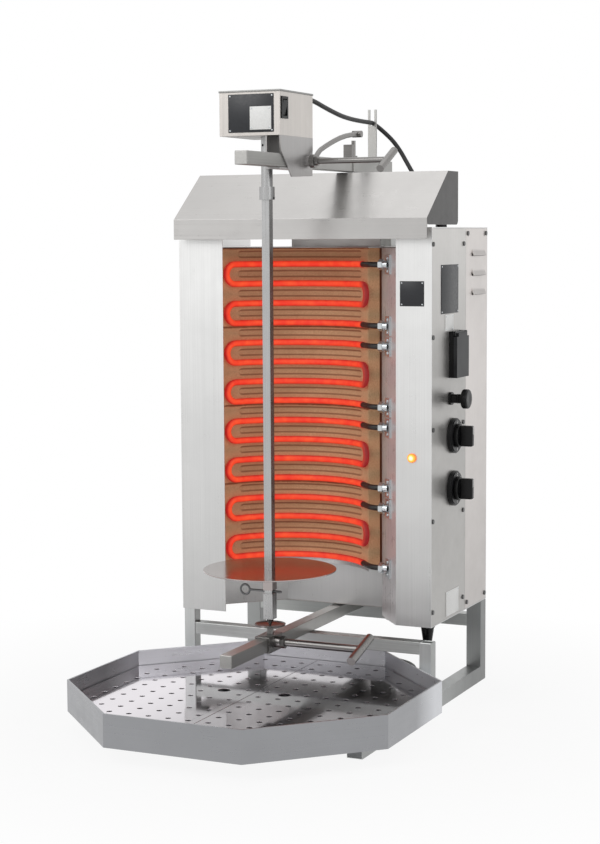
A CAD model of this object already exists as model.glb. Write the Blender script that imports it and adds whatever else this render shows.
import math

import bmesh
import bpy
from mathutils import Matrix, Vector, noise


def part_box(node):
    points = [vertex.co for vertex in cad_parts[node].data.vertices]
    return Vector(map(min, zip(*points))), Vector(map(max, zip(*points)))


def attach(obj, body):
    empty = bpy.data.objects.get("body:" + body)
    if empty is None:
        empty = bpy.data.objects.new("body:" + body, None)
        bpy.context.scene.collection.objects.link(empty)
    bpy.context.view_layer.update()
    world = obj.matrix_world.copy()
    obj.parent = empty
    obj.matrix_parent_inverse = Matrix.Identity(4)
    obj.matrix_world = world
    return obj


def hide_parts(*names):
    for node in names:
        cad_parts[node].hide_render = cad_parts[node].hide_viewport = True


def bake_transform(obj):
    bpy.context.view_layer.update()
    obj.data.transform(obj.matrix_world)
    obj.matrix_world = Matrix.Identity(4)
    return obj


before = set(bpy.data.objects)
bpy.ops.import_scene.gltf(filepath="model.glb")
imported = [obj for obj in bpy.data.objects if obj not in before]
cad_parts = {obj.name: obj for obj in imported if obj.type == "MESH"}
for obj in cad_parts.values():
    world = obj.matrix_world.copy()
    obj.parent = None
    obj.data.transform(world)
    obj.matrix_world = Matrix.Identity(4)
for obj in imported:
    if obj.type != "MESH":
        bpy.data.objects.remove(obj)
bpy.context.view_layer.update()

# Electric upright skewer grill: finishes and detailed pieces round the packed
# frame. Places are in millimetres from the front posts' faces, as in the
# part's source, and mm() brings them to the frame's metres.

HOME_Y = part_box("control_box")[0].y


def mm(x, y, z):
    """Place in the frame's metres."""
    return Vector((x / 1000, y / 1000 + HOME_Y, z / 1000))


# ---- Driving sizes shared with the part's source ----

# Axis and inner radius of the brick wall, and the angles where it starts and ends
WALL_X, WALL_Y, WALL_R = -20.0, -31.0, 143.5
WALL_FROM, WALL_TO = -76.0, 50.5
# Bricks, stacked down from the casing's top
BRICK_T, BRICK_H, BRICK_COUNT = 20.0, 132.5, 4
CASING_TOP = 751.5
# Elements: their radius about the wall's axis, sheath, and runs of each brick
HEATER_R, HEATER_D = 137.0, 10.5
RUN_FIRST, RUN_PITCH, RUN_COUNT = 27.0, 33.0, 4
# Angles of the turns at both ends, and of the place where the glow ends
TURN_LEFT, TURN_RIGHT, HOT_END = -61.5, 47.0, 48.0
COLD_D, COLD_BEND_R, COLD_STRAIGHT = 9.0, 30.0, 27.0
# Control box: its left side, its access panel's face and its floor
BOX_LEFT, PANEL_X, BOX_BOTTOM = 164.0, 225.0, 141.5
LAMP_X, LAMP_Z = BOX_LEFT + 27.7, BOX_BOTTOM + 274.5
MAINS_D, MOTOR_LEAD_D = 12.0, 7.5

# Mains lead from its strain relief to the coil, and from the coil to the plug
MAINS_POINTS = [
    (203.5, 40, 110.5), (203.5, 40, 98.5), (201.5, 40, 80), (195, 41, 62.5), (185, 43.5, 47),
    (172.5, 49, 34), (159.5, 57.5, 24), (147, 69.5, 16.5), (136.5, 85, 12), (129, 101.5, 9),
    (124.5, 119.5, 7), (122, 138, 6), (121, 157, 6), (121, 169, 6),
]
TAIL_POINTS = [
    (34, 256, 18.7), (20, 256, 18.9), (6, 256, 19.4), (-8.5, 256, 20), (-21, 256.5, 20.6),
    (-35, 254.5, 21.1), (-48.5, 249, 21.5), (-59.5, 240.5, 21.8), (-68, 229, 22), (-73, 216, 22),
    (-75, 202, 22), (-75, 192, 22),
]
# Coil: centre, outer radius, pitch and turns of one layer, and the turn that climbs
COIL_CENTRE, COIL_R, COIL_PITCH, COIL_TURNS, COIL_CLIMB = (46, 181), 75, 12.7, 1.875, 0.5

# Motor lead from the motor's case over the fork to its gland on the control box
MOTOR_LEAD_POINTS = [
    (45, -70.2, 984), (45, -60, 983.8), (45.3, -42, 981.5), (45, -12, 976.5), (43.5, 28, 971),
    (41.5, 70, 966.5), (39.5, 115, 964), (38.6, 160, 963), (38.6, 190, 962.8), (38.6, 206, 962.5),
    (39.6, 216, 960), (44.5, 226, 954), (53, 234, 944.5), (64, 239.5, 932), (76, 241.5, 915.5),
    (88, 240, 897), (103, 232, 877), (118, 219.5, 862), (133, 204.5, 853.5), (147, 188.5, 850),
    (158.4, 175.1, 849), (167.8, 166.3, 847.5), (176.5, 158, 843), (182.7, 152.2, 833.5),
    (185, 150, 821), (185, 150, 812), (185, 150, 803),
]


def run_z(i, k):
    """Height of run k of the element on brick i."""
    return CASING_TOP - i * BRICK_H - RUN_FIRST - k * RUN_PITCH


# ---- Mesh helpers ----

def catmull(points, steps):
    """Points on a smooth curve through the given ones."""
    p = [Vector(q) for q in points]
    p = [2 * p[0] - p[1]] + p + [2 * p[-1] - p[-2]]
    out = []
    for i in range(1, len(p) - 2):
        for k in range(steps):
            t = k / steps
            a, b, c, d = p[i - 1], p[i], p[i + 1], p[i + 2]
            out.append(0.5 * ((2 * b) + (c - a) * t + (2 * a - 5 * b + 4 * c - d) * t * t
                              + (3 * b - a - 3 * c + d) * t ** 3))
    return out + [p[-2]]


def tube(points, radius, sides):
    """Vertices and faces of a round tube with closed ends."""
    verts, faces = [], []
    normal = None
    for i, p in enumerate(points):
        ahead = (points[min(i + 1, len(points) - 1)] - points[max(i - 1, 0)]).normalized()
        if normal is None:
            normal = ahead.orthogonal().normalized()
        normal = (normal - ahead * normal.dot(ahead)).normalized()
        side = ahead.cross(normal)
        for k in range(sides):
            a = 2 * math.pi * k / sides
            verts.append(p + radius * (normal * math.cos(a) + side * math.sin(a)))
    for i in range(len(points) - 1):
        for k in range(sides):
            a, b = i * sides + k, i * sides + (k + 1) % sides
            faces.append((a, b, b + sides, a + sides))
    last = (len(points) - 1) * sides
    faces.append(tuple(range(sides))[::-1])
    faces.append(tuple(last + k for k in range(sides)))
    return verts, faces


def lathe(profile, place, axis, steps=48):
    """Turned form of (radius, height) points, standing at place along axis x or -y."""
    turn = {"x": Matrix.Rotation(math.pi / 2, 3, "Y"), "-y": Matrix.Rotation(math.pi / 2, 3, "X")}[axis]
    verts, faces = [], []
    rows = []
    for r, h in profile:
        if r == 0:
            rows.append([len(verts)])
            verts.append(turn @ Vector((0, 0, h)))
            continue
        rows.append(list(range(len(verts), len(verts) + steps)))
        for k in range(steps):
            a = 2 * math.pi * k / steps
            verts.append(turn @ Vector((r * math.cos(a), r * math.sin(a), h)))
    for low, high in zip(rows, rows[1:]):
        for k in range(steps):
            ring = [low[k % len(low)], low[(k + 1) % len(low)],
                    high[(k + 1) % len(high)], high[k % len(high)]]
            face = tuple(dict.fromkeys(ring))
            if len(face) > 2:
                faces.append(face)
    return [Vector(place) + v for v in verts], faces


def arc(centre, r, start, end, steps):
    """(radius, height) points on an arc, angles in degrees from the radius direction."""
    return [(centre[0] + r * math.cos(math.radians(start + (end - start) * i / steps)),
             centre[1] + r * math.sin(math.radians(start + (end - start) * i / steps)))
            for i in range(steps + 1)]


def box_form(x, y, z, round_r, segments=3):
    """Block between the two ends given for each axis, with rounded edges."""
    bm = bmesh.new()
    bmesh.ops.create_cube(bm, size=1)
    for v in bm.verts:
        v.co = Vector([(c[0] + c[1]) / 2 + w * (c[1] - c[0]) for c, w in zip((x, y, z), v.co)])
    bmesh.ops.bevel(bm, geom=bm.edges[:], offset=round_r, segments=segments, profile=0.5, affect="EDGES")
    bm.verts.ensure_lookup_table()
    verts = [v.co.copy() for v in bm.verts]
    faces = [tuple(v.index for v in f.verts) for f in bm.faces]
    bm.free()
    return verts, faces


def joined(*forms):
    """Several forms as one."""
    verts, faces = [], []
    for v, f in forms:
        faces += [tuple(i + len(verts) for i in face) for face in f]
        verts += v
    return verts, faces


def turned(form, angle, axis, about):
    """Form turned by some degrees about an axis through a place."""
    turn = Matrix.Rotation(math.radians(angle), 3, axis)
    about = Vector(about)
    return [about + turn @ (v - about) for v in form[0]], form[1]


def placed(name, data):
    """Object of some data, in the scene."""
    ob = bpy.data.objects.new(name, data)
    bpy.context.scene.collection.objects.link(ob)
    return ob


def piece(name, form, body, material, replaces=(), smooth_angle=35.0, blend=None):
    """One visible piece from vertices in millimetres and faces."""
    verts, faces = form
    mesh = bpy.data.meshes.new(name)
    mesh.from_pydata([mm(*v) for v in verts], [], faces)
    bm = bmesh.new()
    bm.from_mesh(mesh)
    bmesh.ops.recalc_face_normals(bm, faces=bm.faces)
    bm.to_mesh(mesh)
    bm.free()
    mesh.polygons.foreach_set("use_smooth", [True] * len(mesh.polygons))
    mesh.set_sharp_from_angle(angle=math.radians(smooth_angle))
    mesh.materials.append(material)
    ob = placed(name, mesh)
    if blend:
        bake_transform(ob)
    else:
        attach(ob, body)
    if replaces:
        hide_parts(*replaces)
    return ob


# ---- Camera, at the photograph's angle ----

CAMERA_PLACE = (1.2658, -2.6724, 0.7738)
# Degrees to the left, below the level and of roll
CAMERA_TURN, CAMERA_DOWN, CAMERA_ROLL = 24.652, 5.750, -0.313


def make_camera():
    data = bpy.data.cameras.new("camera")
    data.lens = 79.46
    data.sensor_width = 36
    data.clip_end = 50
    ob = placed("camera", data)
    turn = (Matrix.Rotation(math.radians(CAMERA_TURN), 4, "Z")
            @ Matrix.Rotation(math.radians(90 - CAMERA_DOWN), 4, "X")
            @ Matrix.Rotation(math.radians(CAMERA_ROLL), 4, "Z"))
    ob.matrix_world = Matrix.Translation(CAMERA_PLACE) @ turn
    bpy.context.scene.camera = ob


make_camera()


# ---- Materials ----

def linear(r, g, b):
    """Shader colour of an sRGB colour given as 0 to 255."""
    return tuple(c / 255 / 12.92 if c <= 10 else ((c / 255 + 0.055) / 1.055) ** 2.4
                 for c in (r, g, b)) + (1.0,)


def scaled(colour, factor):
    """Colour made lighter or darker, at most white."""
    return tuple(min(1.0, c * factor) for c in colour[:3]) + (1,)


class Nodes:
    """A node tree whose nodes are added one call at a time."""

    def __init__(self, tree):
        self.tree = tree
        tree.nodes.clear()

    def add(self, kind, sockets=(), **settings):
        n = self.tree.nodes.new("ShaderNode" + kind)
        for key, value in settings.items():
            setattr(n, key, value)
        for key, value in dict(sockets).items():
            if isinstance(value, bpy.types.NodeSocket):
                self.tree.links.new(value, n.inputs[key])
            else:
                n.inputs[key].default_value = value
        return n

    def where(self, output="Object"):
        return self.add("TexCoord").outputs[output]

    def place(self, scale=(1, 1, 1)):
        return self.add("Mapping", {"Vector": self.where(), "Scale": scale}).outputs[0]

    def split(self, vector):
        return self.add("SeparateXYZ", {0: vector}).outputs

    def noise(self, vector, scale, detail=3.0, rough=0.5):
        return self.add("TexNoise", {"Vector": vector, "Scale": scale, "Detail": detail,
                                     "Roughness": rough}).outputs["Fac"]

    def cells(self, scale):
        return self.add("TexVoronoi", {"Vector": self.place(), "Scale": scale}).outputs["Distance"]

    def span(self, value, low, high, to_low, to_high):
        return self.add("MapRange", {"Value": value, "From Min": low, "From Max": high,
                                     "To Min": to_low, "To Max": to_high}).outputs[0]

    def mix(self, factor, a, b):
        return self.add("Mix", {0: factor, 6: a, 7: b}, data_type="RGBA").outputs[2]

    def math(self, operation, a, b=0.0):
        return self.add("Math", {0: a, 1: b}, operation=operation).outputs[0]

    def vector(self, operation, a, b=(0.0, 0.0, 0.0)):
        return self.add("VectorMath", {0: a, 1: b}, operation=operation).outputs

    def bump(self, height, strength, distance):
        return self.add("Bump", {"Height": height, "Strength": strength, "Distance": distance}).outputs[0]

    def seen(self):
        """1 for what the camera sees itself, in a gloss or through glass, else 0."""
        rays = self.add("LightPath").outputs
        return self.math("MAXIMUM", rays["Is Camera Ray"],
                         self.math("MAXIMUM", rays["Is Glossy Ray"], rays["Is Transmission Ray"]))


class Shader(Nodes):
    """A material of its own node tree."""

    def __init__(self, name):
        self.material = bpy.data.materials.new(name)
        self.material.use_nodes = True
        super().__init__(self.material.node_tree)

    def output(self, surface):
        self.add("OutputMaterial", {0: surface.outputs[0]})
        return self.material

    def finish(self, sockets):
        return self.output(self.add("BsdfPrincipled", sockets))


# Noise scales of the brush marks, long along x, y or z, or level all round
GRAIN = {"x": (3, 900, 900), "y": (900, 3, 900), "z": (900, 900, 3), "level": (3, 3, 900),
         "none": (60, 60, 60)}
# Parts of a normal along an axis: from the first on full tone, up to the second plain tone
FACING_FULL, FACING_NONE = 0.85, 0.5


def by_side(front=1.0, back=1.0, left=1.0, right=1.0, top=1.0, under=1.0):
    """Tone of a sheet by the side that it faces."""
    def tone(s):
        parts = s.split(s.where("Normal"))
        result = 1.0
        for part, low, high in zip(parts, (left, front, under), (right, back, top)):
            if high != 1.0:
                result = s.math("MULTIPLY", s.span(part, FACING_NONE, FACING_FULL, 1.0, high), result)
            if low != 1.0:
                result = s.math("MULTIPLY", s.span(part, -FACING_FULL, -FACING_NONE, low, 1.0), result)
        return result
    return tone


def by_tilt(tone_up):
    """Tone of the faces that lean back a little, such as louvres."""
    def tone(s):
        return s.span(s.split(s.where("Normal"))[2], 0.06, 0.16, 1.0, tone_up)
    return tone


def by_place(axis, start, end, tone_start, tone_end):
    """Tone that changes between two places along an axis, in the millimetres of mm()."""
    number = "xyz".index(axis)
    a, b = (mm(*(v if k == number else 0 for k in range(3)))[number] for v in (start, end))

    def tone(s):
        return s.span(s.split(s.where())[number], a, b, tone_start, tone_end)
    return tone


def steel(name, colour, grain, rough=0.32, metallic=0.85, streak=0.10, smudge=0.12, warm=0.0,
          relief=0.12, tones=()):
    """Brushed stainless steel: fine streaks along the grain, smudges and faint cloudiness."""
    s = Shader(name)
    streaks = s.noise(s.place(GRAIN[grain]), 1.0, 2.0, 0.6)
    clouds = s.noise(s.place(), 7.0, 4.0, 0.55)
    spots = s.noise(s.place(), 38.0, 5.0, 0.7)
    base = s.mix(s.span(streaks, 0.3, 0.7, 0, 1), scaled(colour, 1 - streak), scaled(colour, 1 + streak))
    base = s.mix(s.span(clouds, 0.35, 0.75, 0, 0.7), base, scaled(colour, 1 - smudge))
    if warm:
        tan = (min(1, colour[0] * 1.1), colour[1] * 0.93, colour[2] * 0.78, 1)
        base = s.mix(s.span(spots, 0.55, 0.8, 0, warm), base, tan)
    for tone in tones:
        base = s.add("VectorMath", {0: base, "Scale": tone(s)}, operation="SCALE").outputs[0]
    roughness = s.span(s.math("ADD", streaks, spots), 0.7, 1.3, rough * 0.8, min(1, rough * 1.25))
    return s.finish({"Base Color": base, "Metallic": metallic, "Roughness": roughness,
                     "Normal": s.bump(streaks, relief, 0.0002)})


def plastic(name, colour, rough=0.4, grain_scale=900.0, sheen_spots=0.08):
    """Moulded plastic with a fine grain."""
    s = Shader(name)
    fine = s.noise(s.place(), grain_scale, 2.0)
    broad = s.noise(s.place(), 30.0, 4.0)
    lighter = tuple(min(1.0, c + sheen_spots * (0.25 + c)) for c in colour[:3]) + (1,)
    base = s.mix(s.span(broad, 0.35, 0.7, 0, 1), colour, lighter)
    roughness = s.span(broad, 0.3, 0.7, rough * 0.85, min(1, rough * 1.2))
    return s.finish({"Base Color": base, "Roughness": roughness, "Specular IOR Level": 0.22,
                     "Normal": s.bump(fine, 0.25, 0.0001)})


def rubber(name, colour):
    """Lead sheath: matt, with a fine grain and dust."""
    s = Shader(name)
    fine = s.noise(s.place(), 500.0, 3.0)
    dust = s.noise(s.place(), 55.0, 5.0, 0.7)
    grey = tuple(c + 0.03 for c in colour[:3]) + (1,)
    base = s.mix(s.span(dust, 0.5, 0.8, 0, 1), colour, grey)
    return s.finish({"Base Color": base, "Roughness": s.span(dust, 0.3, 0.7, 0.45, 0.62),
                     "Normal": s.bump(fine, 0.3, 0.0001)})


def brick(name):
    """Fired brick: sandy grain, darker pits and slot lips, tinted red beside the hot runs."""
    s = Shader(name)
    sand = s.noise(s.place(), 700.0, 6.0, 0.75)
    patch = s.noise(s.place(), 22.0, 6.0, 0.65)
    pits = s.cells(420.0)
    base = s.mix(s.span(sand, 0.35, 0.65, 0, 1), linear(176, 146, 110), linear(224, 196, 154))
    base = s.mix(s.span(patch, 0.4, 0.7, 0, 0.55), base, linear(182, 152, 116))
    base = s.mix(s.span(pits, 0.0, 0.18, 0.65, 0), base, linear(96, 66, 50))
    rise = s.split(s.where("Normal"))[2]
    base = s.mix(s.span(s.math("ABSOLUTE", rise), 0.12, 0.5, 0, 0.8), base, linear(88, 50, 36))
    below = s.math("SUBTRACT", s.split(s.where())[2], run_z(0, 0) / 1000)
    beside = s.math("PINGPONG", below, RUN_PITCH / 2000)
    tint = s.span(beside, 0.004, RUN_PITCH / 2000, 0.22, 0.07)
    height = s.math("ADD", s.math("MULTIPLY", sand, 0.6), s.span(pits, 0.0, 0.25, 0, 0.6))
    return s.finish({"Base Color": base, "Roughness": s.span(sand, 0.3, 0.7, 0.82, 0.96),
                     "Specular IOR Level": 0.25, "Normal": s.bump(height, 0.7, 0.0006),
                     "Emission Color": linear(196, 112, 76), "Emission Strength": tint})


def hot_tube(name):
    """Glowing sheath: orange where it faces the spit, deep red above and below, dull at the right turns.

    The bare numbers of span() here and in the other materials are places, in metres or in a noise's
    own range, and the strengths that the two ends of that range get.
    """
    s = Shader(name)
    axis = (WALL_X / 1000, WALL_Y / 1000 + HOME_Y, 0)
    place = s.where()
    inward = s.vector("SUBTRACT", axis, place)[0]
    level = s.vector("MULTIPLY", inward, (1.0, 1.0, 0.0))[0]
    ahead = s.vector("NORMALIZE", level)[0]
    facing = s.vector("DOT_PRODUCT", ahead, s.add("NewGeometry").outputs["Normal"])["Value"]
    mottle = s.span(s.noise(s.place(), 60.0, 4.0, 0.6), 0.35, 0.7, 0, 1)
    hot = s.mix(mottle, linear(244, 50, 26), linear(255, 84, 38))
    deep = s.mix(mottle, linear(158, 18, 20), linear(196, 36, 32))
    glow = s.mix(s.span(facing, 0.25, 0.95, 0, 1), deep, hot)
    glow = s.mix(s.span(s.split(place)[0], 0.074, 0.087, 0, 0.65), glow, linear(120, 20, 26))
    scale = s.noise(s.place(), 300.0, 4.0)
    skin = s.mix(s.span(scale, 0.3, 0.7, 0, 1), linear(34, 28, 27), linear(62, 52, 50))
    return s.finish({"Base Color": skin, "Roughness": s.span(scale, 0.3, 0.7, 0.5, 0.75),
                     "Metallic": 0.4, "Emission Color": glow, "Emission Strength": 0.95,
                     "Normal": s.bump(scale, 0.3, 0.0002)})


def lamp_glass(name):
    """Lit amber lens: nearly white in the middle, deep orange at the rim."""
    s = Shader(name)
    centre = mm(LAMP_X, 0, LAMP_Z)
    parts = s.split(s.where())
    across = s.math("SUBTRACT", parts[0], centre.x)
    up = s.math("SUBTRACT", parts[2], centre.z)
    far = s.math("SQRT", s.math("ADD", s.math("MULTIPLY", across, across), s.math("MULTIPLY", up, up)))
    facets = s.cells(500.0)
    base = s.mix(s.span(far, 0.0015, 0.0045, 0, 1), linear(255, 248, 214), linear(255, 190, 70))
    base = s.mix(s.span(far, 0.005, 0.0075, 0, 1), base, linear(226, 110, 36))
    return s.finish({"Base Color": base, "Roughness": s.span(facets, 0, 0.6, 0.12, 0.3),
                     "Emission Color": base, "Emission Strength": 0.75,
                     "Normal": s.bump(facets, 0.3, 0.0003)})


def printed(name, ground, fleck):
    """Coated plate with a faint fleck."""
    s = Shader(name)
    fine = s.noise(s.place(), 400.0, 3.0)
    base = s.mix(s.span(fine, 0.3, 0.7, 0, 1), ground, fleck)
    return s.finish({"Base Color": base, "Roughness": s.span(fine, 0.3, 0.7, 0.3, 0.45),
                     "Normal": s.bump(fine, 0.15, 0.0001)})


FRONT_STEEL = steel("front_steel", linear(230, 230, 229), "z", rough=0.34, metallic=0.80, streak=0.05,
                    relief=0.06, tones=[by_place("z", 150, 700, 0.74, 1.0)])
SIDE_STEEL = steel("side_steel", linear(212, 210, 207), "z", rough=0.36, streak=0.06,
                   tones=[by_place("z", 560, 770, 0.70, 1.0), by_place("z", 150, 500, 0.95, 1.0)])
COVER_STEEL = steel("cover_steel", linear(222, 217, 214), "z", rough=0.38, metallic=0.80, streak=0.06,
                    tones=[by_place("z", 150, 500, 0.74, 1.0), by_side(under=0.4, top=0.9), by_tilt(0.72)])
TUBE_STEEL = steel("tube_steel", linear(188, 187, 184), "y", rough=0.34,
                   tones=[by_side(front=0.85, right=0.72, under=0.4)])
FRAME_STEEL = steel("frame_steel", linear(200, 202, 201), "z", rough=0.36,
                    tones=[by_side(right=0.62, left=0.5, back=0.5), by_place("y", 60, 200, 1.0, 0.6)])
POST_STEEL = steel("post_steel", linear(186, 187, 185), "z", rough=0.36, tones=[by_side(right=0.8)])
BAR_STEEL = steel("bar_steel", linear(184, 186, 184), "x", rough=0.36,
                  tones=[by_side(back=0.5, under=0.5)])
HOOD_STEEL = steel("hood_steel", linear(206, 204, 202), "x", rough=0.33, streak=0.03, relief=0.02,
                   tones=[by_side(right=0.12, left=0.5, front=0.82), by_place("x", 40, 230, 1.0, 0.93)])
LID_STEEL = steel("lid_steel", linear(148, 148, 146), "x")
DARK_STEEL = steel("dark_steel", linear(120, 122, 122), "none", rough=0.42, metallic=0.8)
CASE_STEEL = steel("case_steel", linear(208, 203, 198), "z", rough=0.36, metallic=0.82,
                   tones=[by_side(front=0.85)])
CHEEK_STEEL = steel("cheek_steel", linear(176, 174, 173), "z", rough=0.36, tones=[by_side(front=0.8)])
TRAY_STEEL = steel("tray_steel", linear(160, 161, 164), "level", streak=0.03, relief=0.008,
                   tones=[by_side(front=0.92, left=0.95), by_place("y", -190, -110, 1.0, 2.0)])
MIRROR_STEEL = steel("mirror_steel", linear(226, 221, 226), "y", rough=0.07, metallic=1.0, streak=0.02,
                     smudge=0.05, relief=0.004, tones=[by_place("x", -150, 120, 1.0, 0.4)])
DISC_STEEL = steel("disc_steel", linear(168, 160, 158), "x", rough=0.16, metallic=1.0, streak=0.05,
                   smudge=0.1, relief=0.02)
SPIT_STEEL = steel("spit_steel", linear(178, 178, 178), "z", rough=0.26, metallic=0.95,
                   tones=[by_side(right=0.58, left=0.5)])
ROD_STEEL = steel("rod_steel", linear(136, 134, 132), "x", rough=0.30, metallic=0.95,
                  tones=[by_side(under=0.3, front=0.85)])
SHELL_STEEL = steel("shell_steel", linear(190, 184, 180), "z", rough=0.40, metallic=0.8, warm=0.3)
REFLECTOR_STEEL = steel("reflector_steel", linear(214, 213, 214), "z", rough=0.30, metallic=0.3)
ZINC = steel("zinc", linear(206, 210, 212), "none", rough=0.30, metallic=0.9, streak=0.06, smudge=0.15)
SCREW_STEEL = steel("screw_steel", linear(90, 90, 90), "none", rough=0.35, metallic=0.9)
BRICK = brick("fired_brick")
HOT_TUBE = hot_tube("hot_tube")
COLD_SHEATH = steel("cold_sheath", linear(58, 57, 56), "x", rough=0.45, metallic=0.6, warm=0.5)
BLACK_PLASTIC = plastic("black_plastic", linear(5, 5, 6), rough=0.26, sheen_spots=0.02)
LID_PLASTIC = plastic("lid_plastic", linear(34, 35, 37), rough=0.36)
DIAL_BLACK = plastic("dial_black", linear(14, 14, 16), rough=0.3, sheen_spots=0.03)
PLUG_PLASTIC = plastic("plug_plastic", linear(176, 178, 178), rough=0.45)
CERAMIC = plastic("ceramic", linear(214, 204, 180), rough=0.5, grain_scale=500.0)
RUBBER = rubber("lead_rubber", linear(22, 22, 23))
PLATE = printed("blank_plate", linear(244, 244, 242), linear(252, 252, 250))
DARK_PLATE = printed("dark_plate", linear(14, 16, 22), linear(22, 25, 32))
LENS = lamp_glass("lamp_lens")


# ---- Leads ----

# (radius, height) points from the lead's end to the face of the plug, and of one pin
PLUG_PROFILE = [
    (0, 0), (7.6, 0), (8.2, 2), (7.4, 3), (8.7, 5), (7.9, 6), (9.2, 8), (8.4, 9), (9.6, 11), (8.9, 12),
    (10, 14), (10, 18), (11, 20), (14, 28), (19, 35), (20.4, 38), (20.6, 68), (21.6, 69), (22, 71),
    (22, 83), (21.4, 84), (18.2, 84), (18, 78), (0, 78),
]
PIN_PROFILE = [(0, 78), (2.5, 78), (2.5, 102.6), (2.2, 103.6), (1.4, 104), (0, 104)]
PIN_RING, PIN_ANGLES = 10, (90, 210, 330)
# Ribs of the plug's grip: half width, ends along the plug, heights over its axis, angle between two
GRIP_HALF, GRIP_ENDS, GRIP_HEIGHTS, GRIP_STEP = 1.6, (66, 40), (19.4, 21.4), 24


def ramp(s):
    """Smooth step from 0 to 1."""
    return s * s * (3 - 2 * s)


def coil_points(rings):
    """The coil winds in on the floor, climbs half a turn and winds out on top."""
    low = COIL_TURNS
    high = low + COIL_CLIMB
    out = []
    for i in range(round((low + high) * rings) + 1):
        t = i / rings
        if t < low:
            reach = COIL_R - COIL_PITCH * t
        elif t < high:
            reach = COIL_R - COIL_PITCH * (t - 2 * max(0, t - low - COIL_CLIMB / 2))
        else:
            reach = COIL_R - COIL_PITCH * low + COIL_PITCH * (t - low - COIL_CLIMB)
        height = MAINS_D / 2 + COIL_PITCH * ramp(min(1, max(0, (t - low) / COIL_CLIMB)))
        a = 2 * math.pi * t
        out.append(Vector((COIL_CENTRE[0] + reach * math.cos(a), COIL_CENTRE[1] + reach * math.sin(a),
                           height)))
    return out


def path_length(points):
    return sum((b - a).length for a, b in zip(points, points[1:]))


def make_mains_lead():
    route = catmull(MAINS_POINTS, 4) + coil_points(48) + catmull(TAIL_POINTS, 4)
    lead = piece("mains_lead", tube(route, MAINS_D / 2, 16), "root", RUBBER,
                 replaces=["mains_cord", "mains_coil"])
    x, y, z = TAIL_POINTS[-1]
    body = lathe(PLUG_PROFILE, (x, y, z), "-y", 40)
    rib = box_form((x - GRIP_HALF, x + GRIP_HALF), (y - GRIP_ENDS[0], y - GRIP_ENDS[1]),
                   (z + GRIP_HEIGHTS[0], z + GRIP_HEIGHTS[1]), 0.7)
    grips = [turned(rib, a, "Y", (x, y, z)) for a in range(0, 360, GRIP_STEP)]
    plug = piece("mains_plug_body", joined(body, *grips), "root", BLACK_PLASTIC,
                 replaces=["mains_plug"])
    pins = []
    for a in PIN_ANGLES:
        px = x + PIN_RING * math.cos(math.radians(a))
        pz = z + PIN_RING * math.sin(math.radians(a))
        pins.append(lathe(PIN_PROFILE, (px, y, pz), "-y", 20))
    contacts = piece("mains_plug_pins", joined(*pins), "root", ZINC)
    path_length(route) / 1000
    [mm(*p) for p in route]


def make_motor_lead():
    form = tube(catmull(MOTOR_LEAD_POINTS, 6), MOTOR_LEAD_D / 2, 14)
    start, end = mm(38.6, 190, 960), mm(45, -50, 960)
    piece("motor_lead", form, None, RUBBER, replaces=["motor_cable"],
          blend=("root", "motor_unit", start, end))


make_mains_lead()
make_motor_lead()


# ---- Heating elements ----

RUN_STEPS, TURN_STEPS, BEND_STEPS = 40, 14, 8
# Stud at the end of each cold end: (radius, height) points
STUD_PROFILE = [(0, 0), (2.5, 0), (2.5, 5.4), (2, 6), (0, 6)]
# How far a cold end reaches into the control box
COLD_REACH = 9


def polar(r, angle, z):
    """Place at an angle and a radius about the wall's axis."""
    a = math.radians(angle)
    return Vector((WALL_X + r * math.sin(a), WALL_Y + r * math.cos(a), z))


def element_route(i):
    """Four runs along the wall joined by three half-round turns."""
    def run(a, b, z):
        return [polar(HEATER_R, a + (b - a) * k / RUN_STEPS, z) for k in range(RUN_STEPS + 1)]

    def turn(a, z, side):
        along = Vector((math.cos(math.radians(a)), -math.sin(math.radians(a)), 0))
        return [polar(HEATER_R, a, z - RUN_PITCH / 2 * (1 - math.cos(t)))
                + side * RUN_PITCH / 2 * math.sin(t) * along
                for t in [math.pi * k / TURN_STEPS for k in range(1, TURN_STEPS)]]

    z = [run_z(i, k) for k in range(RUN_COUNT)]
    return (run(HOT_END, TURN_LEFT, z[0]) + turn(TURN_LEFT, z[0], -1) + run(TURN_LEFT, TURN_RIGHT, z[1])
            + turn(TURN_RIGHT, z[1], 1) + run(TURN_RIGHT, TURN_LEFT, z[2]) + turn(TURN_LEFT, z[2], -1)
            + run(TURN_LEFT, HOT_END, z[3]))


def make_elements():
    for i in range(BRICK_COUNT):
        form = tube(element_route(i), HEATER_D / 2, 20)
        piece("heating_element_%d" % (i + 1), form, "root", HOT_TUBE,
              replaces=["heating_elements"])


def cold_route(z):
    """Straight on from the glowing run, then bent square to the control box."""
    a = math.radians(HOT_END)
    start = polar(HEATER_R, HOT_END, z)
    turn = start + COLD_STRAIGHT * Vector((math.cos(a), -math.sin(a), 0))
    gland_y = turn.y - COLD_BEND_R * (1 - math.cos(a))
    end_x = turn.x + COLD_BEND_R * math.sin(a)
    bend = []
    for k in range(BEND_STEPS + 1):
        t = -a + a * k / BEND_STEPS
        bend.append(Vector((end_x + COLD_BEND_R * math.sin(t), gland_y + COLD_BEND_R * (1 - math.cos(t)), z)))
    return [start, start.lerp(turn, 0.5)] + bend + [Vector((BOX_LEFT + COLD_REACH, gland_y, z))]


def make_cold_ends():
    forms = []
    for i in range(BRICK_COUNT):
        for k in (0, RUN_COUNT - 1):
            route = cold_route(run_z(i, k))
            forms.append(tube(route, COLD_D / 2, 18))
            forms.append(lathe(STUD_PROFILE, route[-1], "x", 16))
    piece("cold_end_tubes", joined(*forms), "root", COLD_SHEATH, replaces=["cold_ends"])


make_elements()
make_cold_ends()


# ---- Bricks, with the slots between the runs ----

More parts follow.
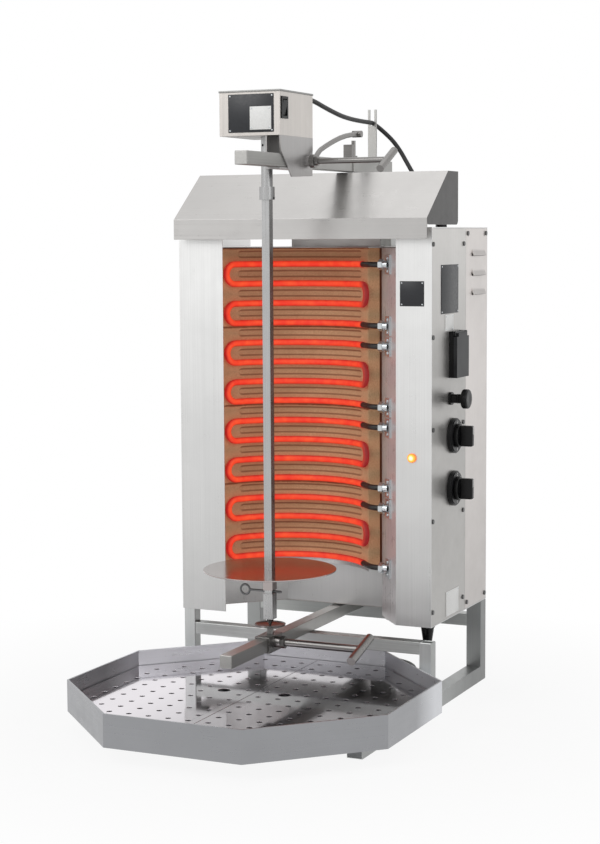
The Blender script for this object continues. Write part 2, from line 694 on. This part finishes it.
# Slots: height, depth, soft lip and the angles where they start and end
GROOVE_H, GROOVE_DEEP, GROOVE_LIP, GROOVE_FROM, GROOVE_TO = 11.5, 2.0, 1.6, -57.0, 37.0
# Cells of a brick's face, its joint to the brick above, and how far it stands behind the wall's radius
BRICK_ACROSS, BRICK_UP = 150, 84
BRICK_JOINT, BRICK_BACK = 0.8, 0.15
# Worn edges: width and depth, and the extra depth of the outermost columns
WORN_WIDTH, WORN_DEEP, WORN_SIDE = 1.6, 0.9, 0.6
# Grain: depth, size, and how far the bricks' grains lie apart
GRAIN_DEEP, GRAIN_SIZE, GRAIN_STEP = 0.12, 9, 7.3


def slot_depth(arc_x, z, left, right):
    """Depth of the slot at a place: round left end, straight right end, soft lips."""
    half = GROOVE_H / 2
    dx = max(left + half - arc_x, 0.0, arc_x - right)
    d = math.hypot(dx, z) - half
    return GROOVE_DEEP * (1 - ramp(max(0.0, min(1.0, (d + GROOVE_LIP) / GROOVE_LIP))))


def make_bricks():
    per_degree = math.pi * WALL_R / 180
    groove = (GROOVE_FROM * per_degree, GROOVE_TO * per_degree)
    across, up = BRICK_ACROSS, BRICK_UP
    wide = across + 1
    angles = [WALL_FROM + (WALL_TO - WALL_FROM) * col / across for col in range(wide)]
    for i in range(BRICK_COUNT):
        top = CASING_TOP - i * BRICK_H - BRICK_JOINT
        low = CASING_TOP - (i + 1) * BRICK_H
        slots = [run_z(i, k) + RUN_PITCH / 2 for k in range(RUN_COUNT)]
        verts, faces = [], []
        for row in range(up + 1):
            z = low + (top - low) * row / up
            worn = WORN_DEEP * max(0.0, 1 - min(z - low, top - z) / WORN_WIDTH) ** 2
            for col, angle in enumerate(angles):
                x = angle * per_degree
                depth = max(slot_depth(x, z - s, *groove) for s in slots)
                depth += worn + (WORN_SIDE if col in (0, across) else 0.0)
                grain = noise.fractal(Vector((x / GRAIN_SIZE, z / GRAIN_SIZE, i * GRAIN_STEP)), 1.0, 2.0, 4)
                verts.append(polar(WALL_R + BRICK_BACK + depth + GRAIN_DEEP * grain, angle, z))
        front = len(verts)
        for z in (low, top):
            for angle in angles:
                verts.append(polar(WALL_R + BRICK_T, angle, z))
        for row in range(up):
            for col in range(across):
                a = row * wide + col
                faces.append((a, a + 1, a + 1 + wide, a + wide))
        for col in range(across):
            faces.append((col, front + col, front + col + 1, col + 1))
            a, b = up * wide + col, front + wide + col
            faces.append((a, a + 1, b + 1, b))
            faces.append((front + col, front + wide + col, front + wide + col + 1, front + col + 1))
        for col in (0, across):
            rim = [row * wide + col for row in range(up + 1)]
            faces.append(tuple(rim + [front + wide + col, front + col]))
        piece("brick_%d" % (i + 1), (verts, faces), "root", BRICK,
              replaces=["burner_bricks"], smooth_angle=60)


make_bricks()


# ---- Knobs, dials and buttons on the side ----

DIAL_Y, DIAL_T = 99.0, 8.0
DIAL_HEIGHTS = {"high": 302.5, "low": 215.5}
# Knob's base over the dial: (radius, height) points, and the flutes round it
KNOB_GAP = 0.3
KNOB_PROFILE = ([(0, 0), (18.2, 0), (19, 0.8), (19, 3)] + arc((17.4, 4.6), 1.6, 0, 90, 4)
                + [(12, 8), (0, 8)])
FLUTE_PROFILE, FLUTE_RING, FLUTE_COUNT = [(0, 0.6), (0.9, 0.6), (0.9, 5.2), (0, 5.6)], 18.4, 24
SPINDLE_PROFILE = [(0, -36), (4, -36), (4, 1), (0, 1)]
# Handle: foot over the knob's base, end over the panel, half width and height, and taper over a length
HANDLE_FOOT, HANDLE_END, HANDLE_HALF_W, HANDLE_HALF_H = 6, 35.5, 7, 17
HANDLE_TAPER, HANDLE_LENGTH = 0.22, 22
# Figures on the dial: ring, and height and half thickness in metres
FIGURE_RING, FIGURE_H, FIGURE_T = 22.6, 0.0078, 0.00012
FIGURE_ANGLES = (0, 45, 90, 135, 180)
# Push button: place, and (radius, height) points of its stem, head and grip rings
PUSH_Y, PUSH_UP = 86.0, 364.5
PUSH_STEM = [(0, -20), (7.35, -20), (7.35, 24), (0, 24)]
PUSH_HEAD = ([(0, 22), (13, 22), (14.8, 22.5)] + arc((14.4, 24.1), 1.5, -50, 0, 3) + [(15.9, 29.6)]
             + arc((13.2, 30.2), 2.7, 0, 80, 6) + [(9, 32.8), (4, 32.5), (0, 32.4)])
PUSH_RING = [(7.3, 0), (7.9, 0.5), (7.9, 1.3), (7.3, 1.8)]
PUSH_RING_PLACES = (12.5, 15.5, 18.5)


def make_knob(level):
    z = BOX_BOTTOM + DIAL_HEIGHTS[level]
    x = PANEL_X + DIAL_T + KNOB_GAP
    base = lathe(KNOB_PROFILE, (x, DIAL_Y, z), "x", 48)
    flutes = []
    for k in range(FLUTE_COUNT):
        a = 2 * math.pi * k / FLUTE_COUNT
        place = (x, DIAL_Y + FLUTE_RING * math.sin(a), z + FLUTE_RING * math.cos(a))
        flutes.append(lathe(FLUTE_PROFILE, place, "x", 8))
    foot = x + HANDLE_FOOT
    block, faces = box_form((foot, PANEL_X + HANDLE_END), (DIAL_Y - HANDLE_HALF_W, DIAL_Y + HANDLE_HALF_W),
                            (z - HANDLE_HALF_H, z + HANDLE_HALF_H), 2.6, 4)
    tapered = [Vector((v.x, DIAL_Y + (v.y - DIAL_Y) * (1 - HANDLE_TAPER * (v.x - foot) / HANDLE_LENGTH), v.z))
               for v in block]
    spindle = lathe(SPINDLE_PROFILE, (x, DIAL_Y, z), "x", 24)
    mark = box_form((PANEL_X + 35.2, PANEL_X + 35.6), (DIAL_Y - 0.9, DIAL_Y + 0.9), (z + 3, z + 15.5), 0.12, 1)
    body = "knob_" + level
    piece("cam_knob_" + level, joined(base, *flutes, (tapered, faces), spindle), body, BLACK_PLASTIC,
          replaces=["switch_knob_" + level])
    piece("knob_mark_" + level, mark, body, PLATE)


def make_figures(level):
    """Plain figures round the dial."""
    z = BOX_BOTTOM + DIAL_HEIGHTS[level]
    for n, angle in enumerate(FIGURE_ANGLES):
        curve = bpy.data.curves.new("figure", "FONT")
        curve.body = str(n)
        curve.size = FIGURE_H
        curve.extrude = FIGURE_T
        curve.align_x = "CENTER"
        curve.align_y = "CENTER"
        ob = placed("dial_%s_figure_%d" % (level, n), curve)
        a = math.radians(angle)
        place = mm(PANEL_X + DIAL_T + 0.1, DIAL_Y + FIGURE_RING * math.sin(a), z + FIGURE_RING * math.cos(a))
        ob.matrix_world = (Matrix.Translation(place) @ Matrix.Rotation(math.pi / 2, 4, "Z")
                           @ Matrix.Rotation(math.pi / 2, 4, "X"))
        bpy.context.view_layer.update()
        mesh = bpy.data.meshes.new_from_object(ob.evaluated_get(bpy.context.evaluated_depsgraph_get()))
        mesh.transform(ob.matrix_world)
        name = ob.name
        bpy.data.objects.remove(ob)
        solid = placed(name, mesh)
        mesh.materials.clear()
        mesh.materials.append(PLATE)
        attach(solid, "root")


def make_push_knob():
    place = (PANEL_X, PUSH_Y, BOX_BOTTOM + PUSH_UP)
    stem = lathe(PUSH_STEM, place, "x", 32)
    head = lathe(PUSH_HEAD, place, "x", 48)
    rings = [lathe([(r, low + h) for r, h in PUSH_RING], place, "x", 32) for low in PUSH_RING_PLACES]
    piece("push_button_knob", joined(stem, head, *rings), "push_button", BLACK_PLASTIC,
          replaces=["push_knob"])


for level in DIAL_HEIGHTS:
    make_knob(level)
    make_figures(level)
make_push_knob()


# ---- Plates without lettering ----

PLATE_T, FIELD_T, RIVET_IN = 0.8, 0.3, 3
RIVET_PROFILE = [(0, 0), (1.3, 0)] + arc((0, -0.6), 1.5, 24, 90, 4)
MOTOR_FRONT = -190.7


def plate_form(x, y, z, thick_axis):
    """Thin plate with rounded corners, and a rivet near each of them."""
    spans = {"x": (y, z), "y": (x, z)}[thick_axis]
    rivets = []
    for a in (spans[0][0] + RIVET_IN, spans[0][1] - RIVET_IN):
        for b in (spans[1][0] + RIVET_IN, spans[1][1] - RIVET_IN):
            if thick_axis == "x":
                rivets.append(lathe(RIVET_PROFILE, (x[1], a, b), "x", 12))
            else:
                rivets.append(lathe(RIVET_PROFILE, (a, y[0], b), "-y", 12))
    return box_form(x, y, z, 0.35, 2), joined(*rivets)


def make_plates():
    """Plates left bare where the maker's are."""
    on_panel = (PANEL_X, PANEL_X + PLATE_T)
    on_motor = (MOTOR_FRONT - PLATE_T, MOTOR_FRONT)
    on_plate = (on_motor[0] - FIELD_T, on_motor[0])
    spots = [
        ("side_plate", on_panel, (42, 122), (645, 724), "x", "root", DARK_PLATE),
        ("side_strip", on_panel, (61, 99), (617, 643.5), "x", "root", PLATE),
        ("low_plate", on_panel, (68, 127), (147, 188), "x", "root", PLATE),
        ("box_plate", (171, 212), (-PLATE_T, 0), (659, 699), "y", "root", DARK_PLATE),
        ("motor_plate_dark", (-36, 41), on_motor, (929, 987), "y", "motor_unit", DARK_PLATE),
        ("motor_plate_field", (1, 37), on_plate, (933, 968), "y", "motor_unit", PLATE),
    ]
    for name, x, y, z, axis, body, material in spots:
        form, rivets = plate_form(x, y, z, axis)
        replaced = ["info_plates"] if body == "root" else []
        piece(name, form, body, material, replaces=replaced)
        piece(name + "_rivets", rivets, body, ZINC)


make_plates()


# ---- Finish of the frame's own parts ----

NODE_FINISH = {
    "left_side_frame": FRAME_STEEL, "right_side_frame": FRAME_STEEL, "crossbars": BAR_STEEL,
    "tube_plugs": PLUG_PLASTIC, "lower_arm": TUBE_STEEL, "rear_column": POST_STEEL,
    "upper_arm": TUBE_STEEL, "arm_sleeve": TUBE_STEEL, "arm_lock": ROD_STEEL,
    "left_casing": FRONT_STEEL, "rear_casing": COVER_STEEL, "burner_shell": SHELL_STEEL,
    "apron": FRONT_STEEL, "top_cover": HOOD_STEEL, "terminal_glands": ZINC,
    "right_reflector": REFLECTOR_STEEL, "hood": HOOD_STEEL, "hood_bracket": HOOD_STEEL,
    "control_box": FRONT_STEEL, "side_panel": SIDE_STEEL, "rear_cover": COVER_STEEL,
    "panel_screws": SCREW_STEEL, "switch_bodies": BLACK_PLASTIC, "switch_dials": DIAL_BLACK,
    "push_button_body": BLACK_PLASTIC, "socket_outlet": BLACK_PLASTIC, "socket_lid": LID_PLASTIC,
    "pilot_lamp": LENS, "contactor": BLACK_PLASTIC, "terminal_block": CERAMIC,
    "cable_glands": BLACK_PLASTIC, "motor_case": CASE_STEEL, "motor_lid": LID_STEEL,
    "motor_plate": LID_STEEL, "motor_bracket": CHEEK_STEEL, "gear_motor": DARK_STEEL,
    "motor_switch": BLACK_PLASTIC, "motor_rocker": BLACK_PLASTIC, "upper_clamp": ROD_STEEL,
    "release_lever": ROD_STEEL, "drive_socket": SPIT_STEEL, "spit_bar": SPIT_STEEL,
    "meat_disc": DISC_STEEL, "disc_pin": DARK_STEEL, "bearing_carriage": ROD_STEEL,
    "lower_clamp": ROD_STEEL, "drip_tray": TRAY_STEEL, "tray_insert_left": MIRROR_STEEL,
    "tray_insert_right": MIRROR_STEEL,
}
# Radius of the rounded edges, for parts other than thin sheet
EDGE_ROUND = {"right_side_frame": 1.4, "left_side_frame": 1.4, "crossbars": 1.2, "lower_arm": 1.2,
              "upper_arm": 1.2, "rear_column": 1.6, "motor_case": 0.9, "motor_lid": 0.9,
              "upper_clamp": 0.8, "lower_clamp": 0.8, "socket_lid": 1.2, "spit_bar": 0.6}
SHEET_ROUND = 0.35
# Sheets whose triangles are first made whole faces, so that they shade evenly
PLAIN_SHEETS = {"side_panel", "rear_cover", "control_box", "hood", "left_casing"}


def finish_nodes():
    for name, material in NODE_FINISH.items():
        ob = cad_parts[name]
        ob.data.materials.clear()
        ob.data.materials.append(material)
        if "custom_normal" in ob.data.attributes:
            ob.data.attributes.remove(ob.data.attributes["custom_normal"])
        ob.data.polygons.foreach_set("use_smooth", [True] * len(ob.data.polygons))
        weld = ob.modifiers.new("weld", "WELD")
        weld.merge_threshold = 0.00001
        if name in PLAIN_SHEETS:
            flat = ob.modifiers.new("whole_faces", "DECIMATE")
            flat.decimate_type = "DISSOLVE"
            flat.angle_limit = math.radians(0.5)
        bevel = ob.modifiers.new("edges", "BEVEL")
        bevel.width = EDGE_ROUND.get(name, SHEET_ROUND) / 1000
        bevel.segments = 2
        bevel.limit_method = "ANGLE"
        bevel.angle_limit = math.radians(38)
        bevel.use_clamp_overlap = True
        bevel.face_strength_mode = "FSTR_ALL"
        weighted = ob.modifiers.new("flat_faces", "WEIGHTED_NORMAL")
        weighted.mode = "FACE_AREA"
        weighted.weight = 100
        weighted.use_face_influence = True


finish_nodes()


# ---- Floor, lights and backdrop ----

WHITE = (1, 1, 1, 1)
# Floor: half width, where its shadows start and end to fade, and its share of plain white before that
FLOOR_HALF, FADE_FROM, FADE_TO, NEAR_WHITE = 20, 0.4, 0.95, 0.90
# Strengths of the room's light and of the backdrop
ROOM_LIGHT, BACKDROP = 0.42, 1.0
LAMPS_AIM = (0, 0, 0.5)
# Place, width and height, and power of each lamp
LAMPS = {
    "key": ((-1.6, -2.6, 2.4), (1.8, 1.8), 36),
    "fill": ((2.6, -1.0, 1.6), (1.5, 1.5), 12),
    "top": ((0, 0.4, 3.0), (2.0, 2.0), 6),
}


def make_floor():
    mesh = bpy.data.meshes.new("floor")
    corners = [(x * FLOOR_HALF, y * FLOOR_HALF, 0) for x, y in ((-1, -1), (1, -1), (1, 1), (-1, 1))]
    mesh.from_pydata(corners, [], [(0, 1, 2, 3)])
    ob = placed("floor", mesh)
    s = Shader("floor_white")
    speck = s.span(s.noise(s.place(), 30.0, 3.0), 0.3, 0.7, 0, 1)
    lit = s.add("BsdfDiffuse", {"Color": s.mix(speck, (0.82, 0.82, 0.82, 1), (0.86, 0.86, 0.86, 1))})
    glow = s.add("Emission", {"Color": WHITE, "Strength": 1.0})
    far = s.vector("LENGTH", s.where())["Value"]
    share = s.math("MULTIPLY", s.seen(), s.span(far, FADE_FROM, FADE_TO, NEAR_WHITE, 1.0))
    mesh.materials.append(s.output(s.add("MixShader", {0: share, 1: lit.outputs[0], 2: glow.outputs[0]})))


def make_world():
    world = bpy.data.worlds.new("studio")
    bpy.context.scene.world = world
    world.use_nodes = True
    w = Nodes(world.node_tree)
    room = w.add("Background", {0: WHITE, 1: ROOM_LIGHT})
    backdrop = w.add("Background", {0: WHITE, 1: BACKDROP})
    mixed = w.add("MixShader", {0: w.seen(), 1: room.outputs[0], 2: backdrop.outputs[0]})
    w.add("OutputWorld", {0: mixed.outputs[0]})


def make_lamp(name, place, size, power):
    data = bpy.data.lights.new(name, "AREA")
    data.shape = "RECTANGLE"
    data.size, data.size_y = size
    data.energy = power
    ob = placed(name, data)
    ob.location = place
    ob.rotation_euler = (Vector(LAMPS_AIM) - Vector(place)).to_track_quat("-Z", "Y").to_euler()


make_floor()
make_world()
for name, (place, size, power) in LAMPS.items():
    make_lamp(name, place, size, power)

bpy.context.scene.view_settings.view_transform = "Standard"
